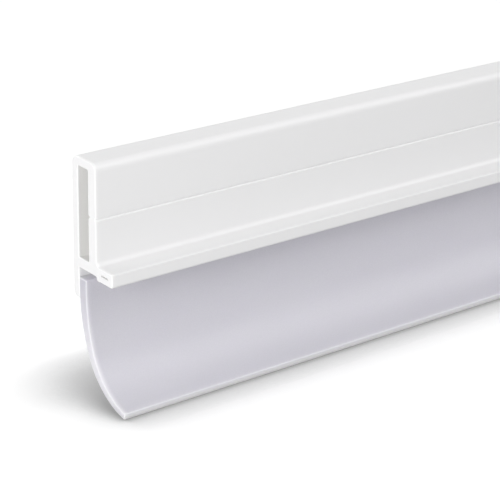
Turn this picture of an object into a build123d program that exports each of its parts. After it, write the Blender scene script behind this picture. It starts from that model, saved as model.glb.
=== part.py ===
from build123d import *
import os

# Door bottom seal: a rigid extruded carrier strip and a soft curved sealing blade.
# Millimetres. X runs along the strip, +Y points at the door, +Z is up as installed.
# The origin is the centre of the flat back face that goes against the door.
# In a section, reach is the distance forward from the door and drop is the distance
# below the top of the carrier.

# Strip
strip_length = 914.0
end_break = 0.15

# Carrier, hollow upper body
body_depth = 8.3
back_wall = 2.1
front_wall = 2.7
top_wall = 1.85
web_thickness = 2.2
chamber_height = 18.9
top_corner_radius = 1.8
chamber_corner_radius = 0.3

# Carrier, score lines that face each other on the two sides of the front wall
score_drop = 11.3
inner_score_depth = 0.45
inner_score_width = 0.7
outer_score_depth = 0.25
outer_score_width = 0.4

# Carrier, ledge and the lip along its front edge
ledge_reach = 13.75
ledge_root_radius = 1.0
ledge_edge_radius = 0.3
lip_width = 5.5
lip_hang = 0.7
lip_edge_radius = 0.6
lip_heel_width = 1.1
lip_heel_proud = 0.12
lip_heel_radius = 0.45
slit_length = 2.6
slit_height = 0.3
slit_cover = 1.45
slit_setback = 1.55

# Carrier, back leg that the blade is bonded to
leg_length = 6.7
leg_corner_radius = 1.4
leg_edge_radius = 0.3
inside_corner_radius = 0.3

# Sealing blade: a straight head, then two arcs that curl forward and thin out to the tip
head_gap = 2.1
head_straight = 2.9
head_thickness = 2.5
head_edge_radius = 0.3
upper_arc_radius = 31.0
upper_arc_angle = 24.5
waist_thickness = 2.15
lower_arc_radius = 16.0
lower_arc_angle = 59.0
tip_thickness = 1.4
tip_edge_radius = 0.3

# Places that follow from the sizes above
chamber_width = body_depth - back_wall - front_wall
chamber_front = body_depth - front_wall
ledge_drop = top_wall + chamber_height
web_underside = ledge_drop + web_thickness
lip_bottom = web_underside + lip_hang
lip_back = ledge_reach - lip_width
heel_bottom = lip_bottom + lip_heel_proud
leg_bottom = web_underside + leg_length
head_top = web_underside + head_gap
back_face_centre = (top_corner_radius + leg_bottom - leg_corner_radius) / 2


def at(reach, drop):
    """Point of the section at a reach forward of the door and a drop below the top."""
    return Vector(-reach, -drop)


def score(face_reach, tip_reach, width):
    """V-shaped notch in the front wall, open at face_reach and ending at tip_reach."""
    mouth_top = at(face_reach, score_drop - width / 2)
    tip = at(tip_reach, score_drop)
    mouth_bottom = at(face_reach, score_drop + width / 2)
    return make_face(Polyline(mouth_top, tip, mouth_bottom, close=True))


def carrier_outline():
    """Outside of the carrier: hollow body, ledge with its lip, and back leg."""
    corners = [
        (at(0, 0), top_corner_radius),
        (at(body_depth, 0), top_corner_radius),
        (at(body_depth, ledge_drop), ledge_root_radius),
        (at(ledge_reach, ledge_drop), ledge_edge_radius),
        (at(ledge_reach, lip_bottom), lip_edge_radius),
        (at(lip_back + lip_heel_width, lip_bottom), 0),
        (at(lip_back + lip_heel_width - lip_heel_proud, heel_bottom), 0),
        (at(lip_back, heel_bottom), lip_heel_radius),
        (at(lip_back, web_underside), inside_corner_radius),
        (at(back_wall, web_underside), inside_corner_radius),
        (at(back_wall, leg_bottom), leg_edge_radius),
        (at(0, leg_bottom), leg_corner_radius),
    ]
    points = [point for point, radius in corners]
    radii = [radius for point, radius in corners]
    return make_face(FilletPolyline(points, radius=radii, close=True))


def chamber():
    """Closed chamber between the back and front walls."""
    middle = at(back_wall + chamber_width / 2, top_wall + chamber_height / 2)
    return Pos(middle) * RectangleRounded(chamber_width, chamber_height, chamber_corner_radius)


def lip_slit():
    """Narrow closed slit inside the lip."""
    middle = at(ledge_reach - slit_setback - slit_length / 2, ledge_drop + slit_cover)
    return Pos(middle) * SlotOverall(slit_length, slit_height)


def carrier_section():
    """Whole section of the carrier extrusion."""
    section = carrier_outline() - chamber()
    section -= score(chamber_front, chamber_front + inner_score_depth, inner_score_width)
    section -= score(body_depth, body_depth - outer_score_depth, outer_score_width)
    section -= lip_slit()
    return section


def blade_section():
    """Section of the blade, its back against the leg and its tip curled forward."""
    # Back of the blade, from the head down to the tip
    back_start = at(back_wall, head_top)
    back_straight = Line(back_start, at(back_wall, head_top + head_straight))
    back_upper = JernArc(back_straight @ 1, back_straight % 1, upper_arc_radius, -upper_arc_angle)
    back_lower = JernArc(back_upper @ 1, back_upper % 1, lower_arc_radius, -lower_arc_angle)
    # Front of the blade, one thickness away from the back at the head, waist and tip
    front_start = at(back_wall + head_thickness, head_top)
    front_bend = at(back_wall + head_thickness, head_top + head_straight)
    front_straight = Line(front_start, front_bend)
    waist = back_upper @ 1 + (back_upper % 1).rotate(Axis.Z, -90) * waist_thickness
    tip = back_lower @ 1 + (back_lower % 1).rotate(Axis.Z, -90) * tip_thickness
    front_upper = TangentArc(front_bend, waist, tangent=front_straight % 1)
    front_lower = TangentArc(waist, tip, tangent=front_upper % 1)
    tip_face = Line(back_lower @ 1, tip)
    head_face = Line(back_start, front_start)
    back = [back_straight, back_upper, back_lower]
    front = [front_straight, front_upper, front_lower]
    section = make_face([*back, tip_face, *front, head_face])
    # Eased edges at the free corner of the head and at both corners of the tip
    head_corner = section.vertices().sort_by_distance(front_start)[0]
    section = fillet(head_corner, head_edge_radius)
    tip_corners = section.vertices().sort_by_distance(tip_face @ 0.5)[0:2]
    return fillet(tip_corners, tip_edge_radius)


def strip(section):
    """Section run along the whole strip, with its saw-cut ends lightly broken."""
    run = extrude(Plane.YZ * section, amount=strip_length / 2, both=True)
    ends = run.faces().filter_by(Axis.X).sort_by(Axis.X)
    run = chamfer(ends[0].edges() + ends[-1].edges(), end_break)
    return Pos(0, 0, back_face_centre) * run


os.makedirs("parts", exist_ok=True)
export_step(strip(carrier_section()), "parts/carrier.step")
export_step(strip(blade_section()), "parts/sealing_blade.step")
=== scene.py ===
import logging
import math
from dataclasses import dataclass
from enum import Enum

import bmesh
import bpy
from mathutils import Matrix, Vector


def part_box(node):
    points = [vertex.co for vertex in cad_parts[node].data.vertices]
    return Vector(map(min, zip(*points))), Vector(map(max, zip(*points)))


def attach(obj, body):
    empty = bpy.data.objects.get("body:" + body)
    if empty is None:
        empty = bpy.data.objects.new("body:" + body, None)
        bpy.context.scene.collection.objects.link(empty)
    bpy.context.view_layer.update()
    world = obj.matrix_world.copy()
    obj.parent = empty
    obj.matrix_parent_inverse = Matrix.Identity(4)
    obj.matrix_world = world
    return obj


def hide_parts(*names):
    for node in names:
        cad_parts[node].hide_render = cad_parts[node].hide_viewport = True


# Looks of a door bottom seal: a white extruded carrier strip and a soft milky sealing blade.
# Metres. X runs along the strip, +Y points at the door, +Z is up as installed.
# In a section, reach is the distance forward from the door and drop is the distance
# below the top of the carrier.

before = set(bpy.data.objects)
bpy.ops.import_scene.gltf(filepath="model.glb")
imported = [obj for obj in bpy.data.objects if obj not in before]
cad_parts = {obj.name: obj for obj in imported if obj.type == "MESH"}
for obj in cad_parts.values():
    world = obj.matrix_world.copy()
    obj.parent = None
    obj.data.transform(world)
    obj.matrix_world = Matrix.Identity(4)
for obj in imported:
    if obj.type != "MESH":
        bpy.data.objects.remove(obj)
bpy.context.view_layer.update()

MM = 0.001
BODY = "root"
BLACK = (0, 0, 0)
WHITE = (1, 1, 1)
UPWARD = (0, 0, 1)
# Arcs are drawn in straight steps that turn by no more than these angles, and the arc of a
# rounded corner has at least so many steps.
ARC_STEP = math.radians(11.25)
BLADE_ARC_STEP = math.radians(3)
LEAST_ARC_STEPS = 3
# Sockets that a Mix node uses for colours, by number, because its sockets share their names.
MIX_SHARE = 0
MIX_FIRST = 6
MIX_SECOND = 7
MIX_RESULT = 2
Socket = bpy.types.NodeSocket
Colour = tuple[float, float, float]
log = logging.getLogger("door_bottom_seal")


class CadNode(Enum):
    """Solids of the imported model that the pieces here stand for."""

    CARRIER = "carrier"
    BLADE = "sealing_blade"


class Slot(Enum):
    """Material slots of the record."""

    WHITE_STRIP = "white_strip"
    MILKY_SILICONE = "milky_silicone"


class Grain(Enum):
    """How a pattern lies on an extruded piece: its closeness along X, Y and Z."""

    DIE_LINES = (0.01, 1.0, 1.0)
    CLOUDS = (0.4, 1.0, 1.0)
    SPECKLE = (1.0, 1.0, 1.0)


class Sum:
    """A node socket that takes part in sums, so that a pattern reads as plain maths."""

    def __init__(self, sheet: "Sheet", socket: Socket) -> None:
        """Wraps a socket.

        Args:
            sheet: The tree that the sums are written on.
            socket: The output socket that holds the value.
        """
        self.sheet = sheet
        self.socket = socket

    def apply(self, operation: str, *others: "Sum | float") -> "Sum":
        """Runs one Math node on this value.

        Args:
            operation: The Math node's operation.
            *others: The further values that the operation takes.

        Returns:
            The result as a new value.
        """
        values = dict(enumerate((self, *others)))
        return self.sheet.value("ShaderNodeMath", {"operation": operation}, values)

    def turned(self, operation: str, first: float) -> "Sum":
        """Runs one Math node with a plain number first and this value second.

        Args:
            operation: The Math node's operation.
            first: The number that comes first.

        Returns:
            The result as a new value.
        """
        return self.sheet.value("ShaderNodeMath", {"operation": operation}, {0: first, 1: self})

    def __add__(self, other: "Sum | float") -> "Sum":
        """Adds."""
        return self.apply("ADD", other)

    def __sub__(self, other: "Sum | float") -> "Sum":
        """Takes away."""
        return self.apply("SUBTRACT", other)

    def __mul__(self, other: "Sum | float") -> "Sum":
        """Multiplies."""
        return self.apply("MULTIPLY", other)

    def __truediv__(self, other: "Sum | float") -> "Sum":
        """Divides."""
        return self.apply("DIVIDE", other)

    def __radd__(self, first: float) -> "Sum":
        """Adds, number first."""
        return self.turned("ADD", first)

    def __rsub__(self, first: float) -> "Sum":
        """Takes this value away from a number."""
        return self.turned("SUBTRACT", first)

    def __rmul__(self, first: float) -> "Sum":
        """Multiplies, number first."""
        return self.turned("MULTIPLY", first)


class Sheet:
    """A node tree that nodes are added to by one method."""

    def __init__(self, tree: bpy.types.NodeTree) -> None:
        """Takes a tree and clears it.

        Args:
            tree: The shader or geometry tree.
        """
        self.tree = tree
        tree.nodes.clear()

    def add(self, kind: str, settings: dict | None = None,
            inputs: dict | None = None) -> bpy.types.Node:
        """Adds one node.

        Args:
            kind: The node's type.
            settings: The node's own settings, set before its sockets.
            inputs: Values or links of its sockets, by name or number.

        Returns:
            The new node.
        """
        node = self.tree.nodes.new(kind)
        for name, value in (settings or {}).items():
            setattr(node, name, value)
        for key, value in (inputs or {}).items():
            self.feed(node.inputs[key], value)
        return node

    def feed(self, socket: Socket, value: object) -> None:
        """Links or sets one input socket.

        Args:
            socket: The input socket.
            value: A value to set, or a Sum or an output socket to link.
        """
        if isinstance(value, Sum):
            value = value.socket
        if isinstance(value, Socket):
            self.tree.links.new(value, socket)
        else:
            socket.default_value = value

    def value(self, kind: str, settings: dict | None = None, inputs: dict | None = None) -> Sum:
        """Adds one node and returns its first output, ready for sums.

        Args:
            kind: The node's type.
            settings: The node's own settings.
            inputs: Values or links of its sockets.

        Returns:
            The first output as a value.
        """
        return Sum(self, self.add(kind, settings, inputs).outputs[0])

    def vector(self, operation: str, inputs: dict) -> Socket:
        """Adds one Vector Math node.

        Args:
            operation: The node's operation.
            inputs: Values or links of its sockets, by name or number.

        Returns:
            The socket of the resulting vector.
        """
        return self.add("ShaderNodeVectorMath", {"operation": operation}, inputs).outputs["Vector"]


class Pen:
    """Draws one side of a section as straight runs and tangent arcs, heading down at first."""

    def __init__(self, reach: float, drop: float) -> None:
        """Puts the pen down.

        Args:
            reach: Start of the line, forward of the door.
            drop: Start of the line, below the top of the carrier.
        """
        self.points = [Vector((reach, drop))]
        self.heading = 0.0

    @property
    def place(self) -> Vector:
        """Where the pen is."""
        return self.points[-1]

    @property
    def ahead(self) -> Vector:
        """Direction that the pen moves in."""
        return Vector((math.sin(self.heading), math.cos(self.heading)))

    @property
    def forward(self) -> Vector:
        """Direction square to the line, on its side away from the door."""
        return Vector((math.cos(self.heading), -math.sin(self.heading)))

    def straight(self, length: float) -> None:
        """Draws a straight run of a length."""
        self.points.append(self.place + self.ahead * length)

    def arc(self, radius: float, angle: float) -> None:
        """Draws an arc that curls forward.

        Args:
            radius: The arc's radius.
            angle: The angle that it turns through, in radians.
        """
        centre = self.place + self.forward * radius
        first = self.place - centre
        steps = math.ceil(angle / BLADE_ARC_STEP)
        for step in range(1, steps + 1):
            self.points.append(centre + Matrix.Rotation(-angle * step / steps, 2) @ first)
        self.heading += angle

    def arc_to(self, end: Vector) -> None:
        """Draws the arc that leaves along the heading and ends at a point.

        Args:
            end: The point where the arc ends.
        """
        way = end - self.place
        half_angle = math.atan2(way.dot(self.forward), way.dot(self.ahead))
        self.arc(way.length / 2 / math.sin(half_angle), 2 * half_angle)


@dataclass
class Loop:
    """One closed outline of a section, as points of reach and drop.

    The round_share is how much of the end's rounding reaches this outline, below 1 for a hole
    that is too narrow for all of it.
    """

    points: list[Vector]
    is_hole: bool = False
    round_share: float = 1.0

    def edge_ways(self) -> list[Vector]:
        """Works out how each point moves when the outline shrinks into the material by one.

        Returns:
            One vector for each point, square to both of its edges.
        """
        ways = []
        doubled_area = sum(self.points[i - 1].cross(point) for i, point in enumerate(self.points))
        side = math.copysign(1, doubled_area) * (-1 if self.is_hole else 1)
        for index, point in enumerate(self.points):
            before = (point - self.points[index - 1]).normalized()
            after = (self.points[(index + 1) % len(self.points)] - point).normalized()
            inward = Vector((-before.y - after.y, before.x + after.x)) * side
            ways.append(inward * self.round_share / (1 + before.dot(after)))
        return ways


def rounded(corners: list[tuple[Vector, float]]) -> list[Vector]:
    """Rounds the corners of a closed outline with arcs.

    Args:
        corners: Each corner's point and the radius of its arc, 0 for a sharp corner.

    Returns:
        The points of the rounded outline, in the same order.
    """
    points = []
    for index, (corner, radius) in enumerate(corners):
        if radius == 0:
            points.append(corner)
            continue
        back = (corners[index - 1][0] - corner).normalized()
        on = (corners[(index + 1) % len(corners)][0] - corner).normalized()
        turn = math.pi - back.angle(on)
        centre = corner + (back + on).normalized() * radius / math.cos(turn / 2)
        first = corner + back * radius * math.tan(turn / 2) - centre
        side = math.copysign(1, on.cross(back))
        steps = max(LEAST_ARC_STEPS, math.ceil(turn / ARC_STEP))
        for step in range(steps + 1):
            points.append(centre + Matrix.Rotation(side * turn * step / steps, 2) @ first)
    return points


@dataclass(frozen=True)
class ExtrudedBar:
    """Geometry Nodes tree that runs a flat section along X and rounds the edges of both ends.

    The section lies across X, and each of its points has an edge_way attribute, the way that
    it moves when the outline shrinks by one. The last five fields name the attributes. The
    finished bar keeps two of them: sawn_end is 1 on its end faces, and hollow is 1 in its holes.
    """

    name: str = "extruded_bar"
    end_round: float = 0.25 * MM
    round_steps: int = 5
    crease_angle: float = math.radians(35)
    join_distance: float = 0.001 * MM
    outline: str = "outline"
    edge_way: str = "edge_way"
    moving_end: str = "moving_end"
    sawn_end: str = "sawn_end"
    hollow: str = "hollow"

    def tree(self) -> bpy.types.NodeTree:
        """Builds the tree.

        Returns:
            The node tree, with named inputs for the bar's sizes and finish.
        """
        tree = bpy.data.node_groups.new(self.name, "GeometryNodeTree")
        sheet = Sheet(tree)
        wanted = (
            ("Section", "NodeSocketGeometry"),
            ("Length", "NodeSocketFloat"),
            ("End Round", "NodeSocketFloat"),
            ("Round Steps", "NodeSocketInt"),
            ("Crease Angle", "NodeSocketFloat"),
            ("Finish", "NodeSocketMaterial"),
        )
        for title, kind in wanted:
            tree.interface.new_socket(name=title, in_out="INPUT", socket_type=kind)
        tree.interface.new_socket(name="Bar", in_out="OUTPUT", socket_type="NodeSocketGeometry")
        given = sheet.add("NodeGroupInput").outputs
        points = sheet.add("GeometryNodeInputPosition").outputs[0]
        section = self.keep(sheet, given["Section"], "FLOAT_VECTOR", "POINT", self.outline, points)
        section = self.keep(sheet, section, "BOOLEAN", "FACE", self.moving_end, True)
        start = self.ring(sheet, given, section, 0, True)
        turned = sheet.add("GeometryNodeFlipFaces", inputs={"Mesh": start}).outputs[0]
        body = self.run(sheet, given, turned)
        joined = sheet.add("GeometryNodeJoinGeometry")
        for part in (start, body):
            sheet.feed(joined.inputs[0], part)
        inputs = {"Geometry": joined.outputs[0], "Distance": self.join_distance}
        closed = sheet.add("GeometryNodeMergeByDistance", inputs=inputs).outputs[0]
        sheet.add("NodeGroupOutput", inputs={"Bar": self.dress(sheet, given, closed)})
        return tree

    def keep(self, sheet: Sheet, mesh: Socket, kind: str, domain: str, name: str,
             value: Socket | bool) -> Socket:
        """Stores a named attribute on a mesh.

        Args:
            sheet: The tree.
            mesh: The mesh's socket.
            kind: The attribute's data type.
            domain: Where the attribute lies, POINT or FACE.
            name: The attribute's name.
            value: The value or socket to store.

        Returns:
            The socket of the mesh with its attribute.
        """
        settings = {"data_type": kind, "domain": domain}
        inputs = {"Geometry": mesh, "Name": name, "Value": value}
        return sheet.add("GeometryNodeStoreNamedAttribute", settings, inputs).outputs[0]

    def read(self, sheet: Sheet, kind: str, name: str) -> Socket:
        """Reads a named attribute.

        Args:
            sheet: The tree.
            kind: The attribute's data type.
            name: The attribute's name.

        Returns:
            The socket of the attribute.
        """
        node = sheet.add("GeometryNodeInputNamedAttribute", {"data_type": kind}, {"Name": name})
        return node.outputs["Attribute"]

    def ring(self, sheet: Sheet, given: bpy.types.bpy_prop_collection, mesh: Socket,
             number: Sum | int, chosen: Socket | bool) -> Socket:
        """Puts the chosen points of a mesh on one ring of the bar.

        Rings 0 to n round the near end, and rings n + 1 to 2n + 1 mirror them at the far end.

        Args:
            sheet: The tree.
            given: The sockets of the tree's inputs.
            mesh: The mesh's socket.
            number: The ring's number.
            chosen: Which points move.

        Returns:
            The socket of the moved mesh.
        """
        length = Sum(sheet, given["Length"])
        radius = Sum(sheet, given["End Round"])
        steps = Sum(sheet, given["Round Steps"])
        from_end = (2 * steps + 1 - number).apply("MINIMUM", number)
        angle = from_end / steps * (math.pi / 2)
        inset = radius * (1 - angle.apply("SINE"))
        along = length / 2 - radius * (1 - angle.apply("COSINE"))
        far = (steps + 0.5).apply("LESS_THAN", number)
        place = sheet.add("ShaderNodeCombineXYZ", inputs={"X": along * (2 * far - 1)}).outputs[0]
        way = self.read(sheet, "FLOAT_VECTOR", self.edge_way)
        shrunk = sheet.vector("SCALE", {0: way, "Scale": inset})
        outline = self.read(sheet, "FLOAT_VECTOR", self.outline)
        position = sheet.vector("ADD", {0: sheet.vector("ADD", {0: outline, 1: shrunk}), 1: place})
        inputs = {"Geometry": mesh, "Selection": chosen, "Position": position}
        return sheet.add("GeometryNodeSetPosition", inputs=inputs).outputs[0]

    def run(self, sheet: Sheet, given: bpy.types.bpy_prop_collection, cap: Socket) -> Socket:
        """Runs a cap from ring to ring, leaving the bar's sides behind it.

        Args:
            sheet: The tree.
            given: The sockets of the tree's inputs.
            cap: The socket of the cap at the near end, facing along the bar.

        Returns:
            The socket of the sides and the far cap.
        """
        first = sheet.add("GeometryNodeRepeatInput")
        last = sheet.add("GeometryNodeRepeatOutput")
        first.pair_with_output(last)
        rings = 2 * Sum(sheet, given["Round Steps"]) + 1
        sheet.feed(first.inputs["Iterations"], rings)
        sheet.feed(first.inputs["Geometry"], cap)
        inputs = {
            "Mesh": first.outputs["Geometry"],
            "Selection": self.read(sheet, "BOOLEAN", self.moving_end),
            "Offset Scale": 0.0,
            "Individual": False,
        }
        grown = sheet.add("GeometryNodeExtrudeMesh", {"mode": "FACES"}, inputs).outputs
        marked = self.keep(sheet, grown["Mesh"], "BOOLEAN", "FACE", self.moving_end, grown["Top"])
        number = Sum(sheet, first.outputs["Iteration"]) + 1
        chosen = self.read(sheet, "BOOLEAN", self.moving_end)
        sheet.feed(last.inputs["Geometry"], self.ring(sheet, given, marked, number, chosen))
        return last.outputs["Geometry"]

    def dress(self, sheet: Sheet, given: bpy.types.bpy_prop_collection, mesh: Socket) -> Socket:
        """Marks the sawn ends, smooths the rounds, keeps the creases and sets the finish.

        Args:
            sheet: The tree.
            given: The sockets of the tree's inputs.
            mesh: The socket of the closed bar.

        Returns:
            The socket of the finished bar.
        """
        sawn = self.read(sheet, "BOOLEAN", self.moving_end)
        mesh = self.keep(sheet, mesh, "FLOAT", "FACE", self.sawn_end, sawn)
        for name in (self.outline, self.edge_way, self.moving_end):
            inputs = {"Geometry": mesh, "Name": name}
            mesh = sheet.add("GeometryNodeRemoveAttribute", inputs=inputs).outputs[0]
        inputs = {"Geometry": mesh, "Shade Smooth": True}
        mesh = sheet.add("GeometryNodeSetShadeSmooth", inputs=inputs).outputs[0]
        angle = Sum(sheet, sheet.add("GeometryNodeInputMeshEdgeAngle").outputs["Unsigned Angle"])
        inputs = {
            "Geometry": mesh,
            "Selection": angle.apply("GREATER_THAN", Sum(sheet, given["Crease Angle"])),
            "Shade Smooth": False,
        }
        mesh = sheet.add("GeometryNodeSetShadeSmooth", {"domain": "EDGE"}, inputs).outputs[0]
        mesh = sheet.add("GeometryNodeRealizeInstances", inputs={"Geometry": mesh}).outputs[0]
        inputs = {"Geometry": mesh, "Material": given["Finish"]}
        return sheet.add("GeometryNodeSetMaterial", inputs=inputs).outputs[0]

    def section_mesh(self, name: str, loops: list[Loop], top: float) -> bpy.types.Mesh:
        """Fills a section's loops with faces, holes left open.

        Args:
            name: The mesh's name.
            loops: The section's outer outline and its holes.
            top: Height of the carrier's top, where drop is 0.

        Returns:
            The flat mesh across X, facing -X, with its edge_way and hollow attributes.
        """
        work = bmesh.new()
        edge_way = work.verts.layers.float_vector.new(self.edge_way)
        hollow = work.verts.layers.float.new(self.hollow)
        for loop in loops:
            verts = []
            for point, way in zip(loop.points, loop.edge_ways()):
                vert = work.verts.new((0, -point.x, top - point.y))
                vert[edge_way] = Vector((0, -way.x, -way.y))
                vert[hollow] = float(loop.is_hole)
                verts.append(vert)
            for index, vert in enumerate(verts):
                work.edges.new((verts[index - 1], vert))
        bmesh.ops.triangle_fill(work, use_beauty=True, use_dissolve=False, edges=work.edges)
        for face in work.faces:
            face.normal_update()
            if face.normal.x > 0:
                face.normal_flip()
        mesh = bpy.data.meshes.new(name)
        work.to_mesh(mesh)
        work.free()
        return mesh

    def piece(self, name: str, section: bpy.types.Mesh, length: float,
              finish: bpy.types.Material) -> bpy.types.Object:
        """Runs a section into a finished piece with a plain mesh.

        Args:
            name: The piece's name.
            section: The flat section.
            length: Length of the bar, whose middle is at X = 0.
            finish: The bar's material.

        Returns:
            The piece, with no modifiers left on it.
        """
        sizes = {
            "Length": length,
            "End Round": self.end_round,
            "Round Steps": self.round_steps,
            "Crease Angle": self.crease_angle,
            "Finish": finish,
        }
        section.materials.append(finish)
        piece = bpy.data.objects.new(name, section)
        bpy.context.scene.collection.objects.link(piece)
        tree = bpy.data.node_groups.get(self.name) or self.tree()
        nodes = piece.modifiers.new("bar", "NODES")
        nodes.node_group = tree
        for item in tree.interface.items_tree:
            if item.name in sizes:
                nodes[item.identifier] = sizes[item.name]
        flats = piece.modifiers.new("even_flats", "WEIGHTED_NORMAL")
        flats.mode = "FACE_AREA"
        flats.keep_sharp = True
        depsgraph = bpy.context.evaluated_depsgraph_get()
        finished = piece.evaluated_get(depsgraph)
        mesh = bpy.data.meshes.new_from_object(
            finished, preserve_all_data_layers=True, depsgraph=depsgraph)
        piece.modifiers.clear()
        piece.data = mesh
        mesh.name = name
        bpy.data.meshes.remove(section)
        return piece


class Finish:
    """What the finishes share: a material, its place on the piece and noise laid along a grain."""

    name = "finish"
    noise_middle = 0.5

    def __init__(self) -> None:
        """Starts an empty material."""
        self.material = bpy.data.materials.new(self.name)
        self.material.use_nodes = True
        self.sheet = Sheet(self.material.node_tree)
        self.place = self.sheet.add("ShaderNodeTexCoord").outputs["Object"]

    def noise(self, grain: Grain, size: float, detail: float = 2.0) -> Sum:
        """Lays noise on the piece.

        Args:
            grain: How the noise is stretched.
            size: Size of its marks across the grain, in metres.
            detail: How many finer layers it has.

        Returns:
            The noise, from 0 to 1, about noise_middle.
        """
        close = tuple(share / size for share in grain.value)
        laid = self.sheet.vector("MULTIPLY", {0: self.place, 1: close})
        inputs = {"Vector": laid, "Scale": 1.0, "Detail": detail}
        return self.sheet.value("ShaderNodeTexNoise", inputs=inputs)

    def attribute(self, name: str) -> Sum:
        """Reads one of the piece's own attributes as a number."""
        node = self.sheet.add("ShaderNodeAttribute", {"attribute_name": name})
        return Sum(self.sheet, node.outputs["Fac"])

    def fade(self, place: Sum, start: float, end: float) -> Sum:
        """Fades from 0 to 1 as a place goes from start to end."""
        levels = {"Value": place, "From Min": start, "From Max": end}
        return self.sheet.value("ShaderNodeMapRange", {"interpolation_type": "SMOOTHSTEP"}, levels)

    def coordinate(self, axis: str) -> Sum:
        """Reads the X, Y or Z of a point of the piece."""
        node = self.sheet.add("ShaderNodeSeparateXYZ", inputs={0: self.place})
        return Sum(self.sheet, node.outputs[axis])

    def from_end(self, length: float) -> Sum:
        """Measures how far a point of a strip of this length is from the nearer end."""
        return length / 2 - self.coordinate("X").apply("ABSOLUTE")

    def mix(self, share: Sum, low: Colour | Socket, high: Colour | Socket) -> Socket:
        """Mixes two colours.

        Args:
            share: How much of the second colour there is.
            low: The first colour, or its socket.
            high: The second colour, or its socket.

        Returns:
            The socket of the mixed colour.
        """
        first, second = ((*end, 1) if isinstance(end, tuple) else end for end in (low, high))
        inputs = {MIX_SHARE: share, MIX_FIRST: first, MIX_SECOND: second}
        return self.sheet.add("ShaderNodeMix", {"data_type": "RGBA"}, inputs).outputs[MIX_RESULT]

    def relief(self, height: Sum, strength: float) -> Socket:
        """Turns a height pattern into the surface's normals.

        Args:
            height: The pattern, in metres.
            strength: How much of it shows.

        Returns:
            The socket of the normals.
        """
        inputs = {"Height": height, "Distance": 1.0, "Strength": strength}
        return self.sheet.add("ShaderNodeBump", inputs=inputs).outputs[0]

    def surface(self, inputs: dict) -> None:
        """Ends the material in a Principled shader.

        Args:
            inputs: Values and links of the shader's sockets.
        """
        shader = self.sheet.add("ShaderNodeBsdfPrincipled", inputs=inputs)
        self.sheet.add("ShaderNodeOutputMaterial", inputs={"Surface": shader.outputs[0]})


class WhitePvc(Finish):
    """Smooth white rigid PVC with a satin gloss, faint die lines and duller sawn ends.

    Painted light: its hollows are painted lighter and warmer, and its end edges carry a painted
    highlight.
    """

    name = "white_rigid_pvc"
    shade = (0.863, 0.861, 0.865)
    light = (0.893, 0.891, 0.895)
    # Painted light: colour of the chamber and slit insides, lighter and warmer than the outside, as
    # if light came through the walls.
    chamber = (0.955, 0.95, 0.935)
    # Painted highlight along the edges of both ends of the strip.
    painted_edge_highlight = (0.96, 0.96, 0.96)
    painted_highlight_width = 0.8 * MM
    cloud = 30 * MM
    cloud_share = 0.9
    die_line = 0.6 * MM
    peel = 1.6 * MM
    peel_share = 0.7
    skin_depth = 0.004 * MM
    saw_mark = 0.25 * MM
    saw_depth = 0.02 * MM
    relief_strength = 0.4
    roughness = 0.3
    gloss_drift = 0.1
    sawn_dullness = 0.15
    refraction = 1.53

    def __init__(self, length: float) -> None:
        """Builds the material.

        Args:
            length: Length of the strip, whose middle is at X = 0.
        """
        super().__init__()
        lines = self.noise(Grain.DIE_LINES, self.die_line)
        clouds = self.noise(Grain.CLOUDS, self.cloud)
        peel = self.noise(Grain.SPECKLE, self.peel)
        marks = self.noise(Grain.SPECKLE, self.saw_mark)
        sawn = self.attribute(ExtrudedBar.sawn_end)
        sides = 1 - sawn
        # Painted highlight: lighter towards each end of the strip.
        edges = self.fade(self.from_end(length), self.painted_highlight_width, 0)
        tone = (1 - self.cloud_share) * lines + self.cloud_share * clouds
        outside = self.mix(tone, self.shade, self.light)
        # Painted light inside the hollows.
        body = self.mix(self.attribute(ExtrudedBar.hollow) * sides, outside, self.chamber)
        skin = ((1 - self.peel_share) * lines + self.peel_share * peel) * self.skin_depth
        height = skin + sawn * marks * self.saw_depth
        gloss = self.roughness + self.gloss_drift * (clouds - self.noise_middle)
        self.surface({
            "Base Color": self.mix(edges * sides, body, self.painted_edge_highlight),
            "Roughness": gloss + self.sawn_dullness * sawn,
            "IOR": self.refraction,
            "Normal": self.relief(height, self.relief_strength),
        })


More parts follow.
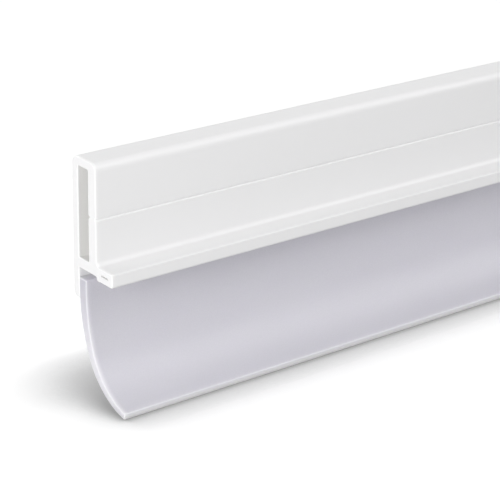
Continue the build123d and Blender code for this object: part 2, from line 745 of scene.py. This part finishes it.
class MilkySilicone(Finish):
    """Soft milky silicone with a lavender grey tint, and painted light on its thin cut end and its
    edges.
    """

    name = "soft_lavender_silicone"
    shade = (0.645, 0.635, 0.69)
    light = (0.75, 0.74, 0.79)
    # Painted highlight along the blade's end edges, weaker towards the thick head.
    painted_edge_highlight = (0.84, 0.83, 0.87)
    # Painted light: near-white glow along the blade's tip edge.
    painted_tip_light = (0.94, 0.93, 0.96)
    # Painted light: the cut end goes from darker at the thick head to lighter at the thin tip, as if
    # light showed through the silicone.
    thick_cut = (0.57, 0.56, 0.62)
    thin_cut = (0.80, 0.79, 0.83)
    thick_height = 27 * MM
    thin_height = 7 * MM
    painted_highlight_width = 1.2 * MM
    edge_least = 0.3
    tip_edge_start = 1.7 * MM
    tip_edge_full = tip_edge_start / 3
    cloud = 14 * MM
    speckle = 0.25 * MM
    speckle_detail = 1.0
    speckle_share = 0.55
    grit_share = 0.6
    grit_depth = 0.02 * MM
    relief_strength = 0.25
    roughness = 0.38
    gloss_drift = 0.12
    refraction = 1.45
    milkiness = 0.6
    light_spread = (1.0, 0.95, 1.05)
    light_depth = 1.2 * MM

    def __init__(self, length: float, bottom: float) -> None:
        """Builds the material.

        Args:
            length: Length of the blade, whose middle is at X = 0.
            bottom: Height of the blade's lowest point.
        """
        super().__init__()
        clouds = self.noise(Grain.CLOUDS, self.cloud)
        speckle = self.noise(Grain.SPECKLE, self.speckle, self.speckle_detail)
        lines = self.noise(Grain.DIE_LINES, self.speckle)
        height = self.coordinate("Z") - bottom
        # How thin the blade is, which sets how much painted light its cut end and end edges get.
        thinness = self.fade(height, self.thick_height, self.thin_height)
        paling = self.edge_least + (1 - self.edge_least) * thinness
        # Painted highlight at the blade's ends.
        painted_end_highlight = self.fade(self.from_end(length), self.painted_highlight_width, 0) * paling
        # Painted light along the bottom of the blade, at its tip.
        painted_tip_light = self.fade(height, self.tip_edge_start, self.tip_edge_full)
        tone = (1 - self.speckle_share) * clouds + self.speckle_share * speckle
        body = self.mix(tone, self.shade, self.light)
        sides = self.mix(painted_tip_light, self.mix(painted_end_highlight, body, self.painted_edge_highlight), self.painted_tip_light)
        # Painted light on the cut end, lighter where the blade is thin.
        cut = self.mix(thinness, self.thick_cut, self.thin_cut)
        grit = (self.grit_share * speckle + (1 - self.grit_share) * lines) * self.grit_depth
        self.surface({
            "Base Color": self.mix(self.attribute(ExtrudedBar.sawn_end), sides, cut),
            "Roughness": self.roughness + self.gloss_drift * (clouds - self.noise_middle),
            "IOR": self.refraction,
            "Subsurface Weight": self.milkiness,
            "Subsurface Radius": self.light_spread,
            "Subsurface Scale": self.light_depth,
            "Normal": self.relief(grit, self.relief_strength),
        })


def shown(sheet: Sheet) -> Sum:
    """Tells the rays that show the background from those that carry its light to the seal.

    Args:
        sheet: The tree of the floor or of the surround.

    Returns:
        1 for camera, glossy and transmission rays, and 0 for the rest.
    """
    ray = sheet.add("ShaderNodeLightPath").outputs
    seen = Sum(sheet, ray["Is Camera Ray"])
    for kind in ("Is Glossy Ray", "Is Transmission Ray"):
        seen = seen.apply("MAXIMUM", Sum(sheet, ray[kind]))
    return seen


class PaleFloor(Finish):
    """Plain pale floor, white where nothing stands near it, with a soft contact shadow."""

    name = "pale_floor"
    colour = (0.7, 0.7, 0.7)
    glow = (0.5, 0.5, 0.5)
    samples = 16
    near_reach = 6 * MM
    near_way = (0, 1, 1)
    near_fall = 2.0
    near_share = 0.5
    wide_reach = 22 * MM
    wide_fall = 4.3
    darkest = 0.38

    def __init__(self) -> None:
        """Builds the material."""
        super().__init__()
        sheet = self.sheet
        near = self.openness(self.near_reach, self.near_way).apply("POWER", self.near_fall)
        wide = self.openness(self.wide_reach, UPWARD).apply("POWER", self.wide_fall)
        open_share = wide * ((1 - self.near_share) + self.near_share * near)
        shade = self.darkest + (1 - self.darkest) * open_share
        colour = self.mix(shade, BLACK, self.colour)
        matt = sheet.add("ShaderNodeBsdfDiffuse", inputs={"Color": colour}).outputs[0]
        lit = self.mix(shown(sheet) * shade, BLACK, self.glow)
        glow = sheet.add("ShaderNodeEmission", inputs={"Color": lit}).outputs[0]
        both = sheet.add("ShaderNodeAddShader", inputs={0: matt, 1: glow}).outputs[0]
        sheet.add("ShaderNodeOutputMaterial", inputs={"Surface": both})

    def openness(self, reach: float, way: tuple[float, float, float]) -> Sum:
        """Measures how open the floor is to its surroundings, from 0 to 1.

        Args:
            reach: How far away something can still shade it.
            way: The middle of the surroundings that count.

        Returns:
            The share of the surroundings within reach that is open.
        """
        middle = self.sheet.vector("NORMALIZE", {0: way})
        inputs = {"Distance": reach, "Normal": middle}
        node = self.sheet.add("ShaderNodeAmbientOcclusion", {"samples": self.samples}, inputs)
        return Sum(self.sheet, node.outputs["AO"])


@dataclass
class Carrier:
    """The rigid extrusion: hollow upper body, ledge with its lip, and back leg.

    The outer score line is wider and deeper than the solid's, so that it shows from a step away.
    """

    length: float
    top: float
    ledge_reach: float
    leg_bottom: float
    name: str = "carrier_strip"
    body_depth: float = 8.3 * MM
    back_wall: float = 2.1 * MM
    front_wall: float = 2.7 * MM
    top_wall: float = 1.85 * MM
    chamber_height: float = 18.9 * MM
    chamber_radius: float = 0.3 * MM
    top_radius: float = 1.8 * MM
    score_drop: float = 11.3 * MM
    inner_score_depth: float = 0.45 * MM
    inner_score_width: float = 0.7 * MM
    outer_score_depth: float = 0.32 * MM
    outer_score_above: float = 0.5 * MM
    outer_score_below: float = 0.25 * MM
    web: float = 2.2 * MM
    ledge_root_radius: float = 1.0 * MM
    ledge_edge_radius: float = 0.3 * MM
    lip_width: float = 5.5 * MM
    lip_hang: float = 0.7 * MM
    lip_edge_radius: float = 0.6 * MM
    heel_width: float = 1.1 * MM
    heel_proud: float = 0.12 * MM
    heel_radius: float = 0.45 * MM
    inside_radius: float = 0.3 * MM
    leg_edge_radius: float = 0.3 * MM
    leg_corner_radius: float = 1.4 * MM
    slit_length: float = 2.6 * MM
    slit_height: float = 0.3 * MM
    slit_radius: float = 0.14 * MM
    slit_cover: float = 1.45 * MM
    slit_setback: float = 1.55 * MM
    slit_round_share: float = 0.4

    @property
    def ledge_drop(self) -> float:
        """Level of the ledge's top and the chamber's floor."""
        return self.top_wall + self.chamber_height

    @property
    def web_underside(self) -> float:
        """Level of the underside behind the lip."""
        return self.ledge_drop + self.web

    def outline(self) -> Loop:
        """Draws the outside of the carrier.

        Returns:
            The outer outline, with the outer score line in its front.
        """
        lip_bottom = self.web_underside + self.lip_hang
        heel_bottom = lip_bottom + self.heel_proud
        lip_back = self.ledge_reach - self.lip_width
        heel_front = lip_back + self.heel_width
        corners = [
            (0, 0, self.top_radius),
            (self.body_depth, 0, self.top_radius),
            (self.body_depth, self.score_drop - self.outer_score_above, 0),
            (self.body_depth - self.outer_score_depth, self.score_drop, 0),
            (self.body_depth, self.score_drop + self.outer_score_below, 0),
            (self.body_depth, self.ledge_drop, self.ledge_root_radius),
            (self.ledge_reach, self.ledge_drop, self.ledge_edge_radius),
            (self.ledge_reach, lip_bottom, self.lip_edge_radius),
            (heel_front, lip_bottom, 0),
            (heel_front - self.heel_proud, heel_bottom, 0),
            (lip_back, heel_bottom, self.heel_radius),
            (lip_back, self.web_underside, self.inside_radius),
            (self.back_wall, self.web_underside, self.inside_radius),
            (self.back_wall, self.leg_bottom, self.leg_edge_radius),
            (0, self.leg_bottom, self.leg_corner_radius),
        ]
        return Loop(rounded([(Vector(corner[:2]), corner[2]) for corner in corners]))

    def chamber(self) -> Loop:
        """Draws the closed chamber, with the score line inside its front wall.

        Returns:
            The chamber's outline, as a hole.
        """
        front = self.body_depth - self.front_wall
        score = self.inner_score_width / 2
        corners = [
            (self.back_wall, self.top_wall, self.chamber_radius),
            (front, self.top_wall, self.chamber_radius),
            (front, self.score_drop - score, 0),
            (front + self.inner_score_depth, self.score_drop, 0),
            (front, self.score_drop + score, 0),
            (front, self.ledge_drop, self.chamber_radius),
            (self.back_wall, self.ledge_drop, self.chamber_radius),
        ]
        return Loop(rounded([(Vector(corner[:2]), corner[2]) for corner in corners]), is_hole=True)

    def slit(self) -> Loop:
        """Draws the narrow closed slit inside the lip.

        Returns:
            The slit's outline, as a hole.
        """
        front = self.ledge_reach - self.slit_setback
        back = front - self.slit_length
        top = self.ledge_drop + self.slit_cover - self.slit_height / 2
        bottom = top + self.slit_height
        ends = [(back, top), (front, top), (front, bottom), (back, bottom)]
        corners = [(Vector(end), self.slit_radius) for end in ends]
        return Loop(rounded(corners), is_hole=True, round_share=self.slit_round_share)

    def build(self, bar: ExtrudedBar, finish: Finish) -> bpy.types.Object:
        """Makes the carrier and ties it to the frame.

        Args:
            bar: The tree that runs a section along the strip.
            finish: The carrier's finish.

        Returns:
            The finished piece.
        """
        loops = [self.outline(), self.chamber(), self.slit()]
        section = bar.section_mesh("carrier_section", loops, self.top)
        piece = bar.piece(self.name, section, self.length, finish.material)
        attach(piece, BODY)
        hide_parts(CadNode.CARRIER.value)
        return piece


@dataclass
class SealingBlade:
    """The soft blade: a straight head on the leg, then two arcs that curl forward to the tip."""

    length: float
    top: float
    back: float
    head_top: float
    name: str = "silicone_blade"
    head_straight: float = 2.9 * MM
    head_thickness: float = 2.5 * MM
    head_edge_radius: float = 0.3 * MM
    upper_radius: float = 31 * MM
    upper_angle: float = math.radians(24.5)
    waist_thickness: float = 2.15 * MM
    lower_radius: float = 16 * MM
    lower_angle: float = math.radians(59)
    tip_thickness: float = 1.4 * MM
    tip_edge_radius: float = 0.3 * MM

    def outline(self) -> Loop:
        """Draws the blade's section, down its back and up its front.

        Returns:
            The blade's outline.
        """
        back = Pen(self.back, self.head_top)
        back.straight(self.head_straight)
        back.arc(self.upper_radius, self.upper_angle)
        waist = back.place + back.forward * self.waist_thickness
        back.arc(self.lower_radius, self.lower_angle)
        tip = back.place + back.forward * self.tip_thickness
        front = Pen(self.back + self.head_thickness, self.head_top)
        front.straight(self.head_straight)
        front.arc_to(waist)
        front.arc_to(tip)
        corners = [(point, 0) for point in back.points[:-1]]
        corners += [(back.place, self.tip_edge_radius), (tip, self.tip_edge_radius)]
        corners += [(point, 0) for point in front.points[-2:0:-1]]
        corners.append((front.points[0], self.head_edge_radius))
        return Loop(rounded(corners))

    def build(self, bar: ExtrudedBar, finish: Finish) -> bpy.types.Object:
        """Makes the blade and ties it to the frame.

        Args:
            bar: The tree that runs a section along the strip.
            finish: The blade's finish.

        Returns:
            The finished piece.
        """
        section = bar.section_mesh("blade_section", [self.outline()], self.top)
        piece = bar.piece(self.name, section, self.length, finish.material)
        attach(piece, BODY)
        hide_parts(CadNode.BLADE.value)
        return piece


def toward(azimuth: float, elevation: float) -> Vector:
    """Works out a direction from its angles.

    Args:
        azimuth: 0 in front of the seal, and a quarter turn below 0 off its near end, in radians.
        elevation: How far above the horizon it points, in radians.

    Returns:
        The direction, with a length of 1.
    """
    level = math.cos(elevation)
    return Vector((math.sin(azimuth) * level, -math.cos(azimuth) * level, math.sin(elevation)))


@dataclass(frozen=True)
class Lamp:
    """A soft lamp in a direction, whose angles are in degrees."""

    name: str
    azimuth: float
    elevation: float

    @property
    def way(self) -> Vector:
        """Direction from the seal to the lamp."""
        return toward(math.radians(self.azimuth), math.radians(self.elevation))

    def hang(self, data: bpy.types.Light, place: Vector) -> None:
        """Puts the lamp in the scene, facing the seal.

        Args:
            data: The lamp's light.
            place: Where it hangs.
        """
        lamp = bpy.data.objects.new(self.name, data)
        lamp.location = place
        lamp.rotation_euler = self.way.to_track_quat("Z", "Y").to_euler()
        lamp.visible_camera = False
        bpy.context.scene.collection.objects.link(lamp)


@dataclass(frozen=True)
class FarLight(Lamp):
    """A large soft light so far away that it lights the whole strip evenly."""

    spread: float
    strength: float

    def light(self, aim: Vector) -> None:
        """Hangs the light.

        Args:
            aim: The point that it faces.
        """
        data = bpy.data.lights.new(self.name, "SUN")
        data.angle = math.radians(self.spread)
        data.energy = self.strength
        self.hang(data, aim + self.way)


@dataclass(frozen=True)
class SoftBox(Lamp):
    """A square soft box close to the near end."""

    power: float
    distance: float = 220 * MM
    width: float = 140 * MM

    def light(self, aim: Vector) -> None:
        """Hangs the soft box.

        Args:
            aim: The point that it faces.
        """
        data = bpy.data.lights.new(self.name, "AREA")
        data.shape = "SQUARE"
        data.size = self.width
        data.energy = self.power
        self.hang(data, aim + self.way * self.distance)


@dataclass(frozen=True)
class PhotoCamera:
    """The photograph's camera, held by a point of the near end and the pixel it falls on.

    The point lies on the rounded back top corner. The sensor and the lens are in millimetres
    and the image is in pixels, as wide as it is high.
    """

    azimuth: float = math.radians(-37.96)
    elevation: float = math.radians(22.28)
    roll: float = math.radians(1.176)
    sensor: float = 36.0
    lens: float = 134.0
    image: float = 500.0
    anchor_pixel: tuple[float, float] = (71.7, 156.1)
    anchor_depth: float = 356.5 * MM
    anchor_reach: float = 0.145 * MM
    anchor_drop: float = 0.58 * MM
    nearest: float = 10 * MM

    def build(self, near_end: float, top: float) -> None:
        """Makes the camera and hands it to the scene.

        Args:
            near_end: Where the strip's near end is along X.
            top: Height of the carrier's top.
        """
        behind = toward(self.azimuth, self.elevation)
        level = Vector((math.cos(self.azimuth), math.sin(self.azimuth), 0))
        upright = behind.cross(level)
        right = level * math.cos(self.roll) + upright * math.sin(self.roll)
        above = upright * math.cos(self.roll) - level * math.sin(self.roll)
        pixel_size = self.sensor / self.lens / self.image * self.anchor_depth
        across = (self.anchor_pixel[0] - self.image / 2) * pixel_size
        down = (self.anchor_pixel[1] - self.image / 2) * pixel_size
        anchor = Vector((near_end, -self.anchor_reach, top - self.anchor_drop))
        place = anchor - right * across + above * down + behind * self.anchor_depth
        data = bpy.data.cameras.new("photo_camera")
        data.sensor_width = self.sensor
        data.lens = self.lens
        data.clip_start = self.nearest
        camera = bpy.data.objects.new("photo_camera", data)
        turn = Matrix((right, above, behind)).transposed().to_4x4()
        camera.matrix_world = Matrix.Translation(place) @ turn
        bpy.context.scene.collection.objects.link(camera)
        bpy.context.scene.camera = camera


@dataclass(frozen=True)
class Studio:
    """Plain pale floor, soft lamps and a bright even surround."""

    floor_size: float = 8.0
    surround: float = 0.3
    aim_from_end: float = 60 * MM
    lamps: tuple[FarLight | SoftBox, ...] = (
        FarLight("low_left", azimuth=-60, elevation=14, spread=28, strength=1.02),
        FarLight("high_left", azimuth=-90, elevation=38, spread=40, strength=0.19),
        FarLight("right", azimuth=60, elevation=38, spread=40, strength=0.72),
        FarLight("high_right", azimuth=120, elevation=62, spread=40, strength=0.4),
        FarLight("low_back", azimuth=180, elevation=14, spread=28, strength=1.1),
        SoftBox("near_left", azimuth=-75, elevation=6, power=0.095),
        SoftBox("near_front", azimuth=0, elevation=40, power=0.066),
    )

    def build(self, near_end: float, middle: float, floor_level: float) -> None:
        """Lays the floor, hangs the lamps and lights the surround.

        Args:
            near_end: Where the strip's near end is along X.
            middle: Where the middle of the carrier is along Y.
            floor_level: Height of the floor.
        """
        aim = Vector((near_end + self.aim_from_end, middle, 0))
        half = self.floor_size / 2
        corners = [(-half, -half), (half, -half), (half, half), (-half, half)]
        mesh = bpy.data.meshes.new("floor")
        mesh.from_pydata([(x, y, floor_level) for x, y in corners], [], [(0, 1, 2, 3)])
        mesh.materials.append(PaleFloor().material)
        floor = bpy.data.objects.new("floor", mesh)
        bpy.context.scene.collection.objects.link(floor)
        for lamp in self.lamps:
            lamp.light(aim)
        self.light_surround()

    def light_surround(self) -> None:
        """Lights the surround evenly, and shows it white to the rays that show the background."""
        world = bpy.data.worlds.new("white_surround")
        bpy.context.scene.world = world
        world.use_nodes = True
        sheet = Sheet(world.node_tree)
        strength = self.surround + (1 - self.surround) * shown(sheet)
        inputs = {"Color": (*WHITE, 1), "Strength": strength}
        white = sheet.add("ShaderNodeBackground", inputs=inputs).outputs[0]
        sheet.add("ShaderNodeOutputWorld", inputs={"Surface": white})


def report(piece: bpy.types.Object) -> None:
    """Logs a piece's size and faces."""
    size = ", ".join(f"{side / MM:.1f}" for side in piece.dimensions)
    log.info("%s: %s mm, %d faces", piece.name, size, len(piece.data.polygons))


def main() -> None:
    """Builds the seal's two pieces, the studio and the camera."""
    logging.basicConfig(level=logging.INFO, format="%(name)s: %(message)s")
    low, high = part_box(CadNode.CARRIER.value)
    blade_low, blade_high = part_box(CadNode.BLADE.value)
    length = high.x - low.x
    bar = ExtrudedBar()
    carrier = Carrier(length, top=high.z, ledge_reach=high.y - low.y, leg_bottom=high.z - low.z)
    report(carrier.build(bar, WhitePvc(length)))
    blade = SealingBlade(
        length, top=high.z, back=high.y - blade_high.y, head_top=high.z - blade_high.z)
    report(blade.build(bar, MilkySilicone(length, blade_low.z)))
    Studio().build(low.x, (low.y + high.y) / 2, blade_low.z)
    PhotoCamera().build(low.x, high.z)
    bpy.context.scene.view_settings.view_transform = "Standard"


if __name__ == "__main__":
    main()
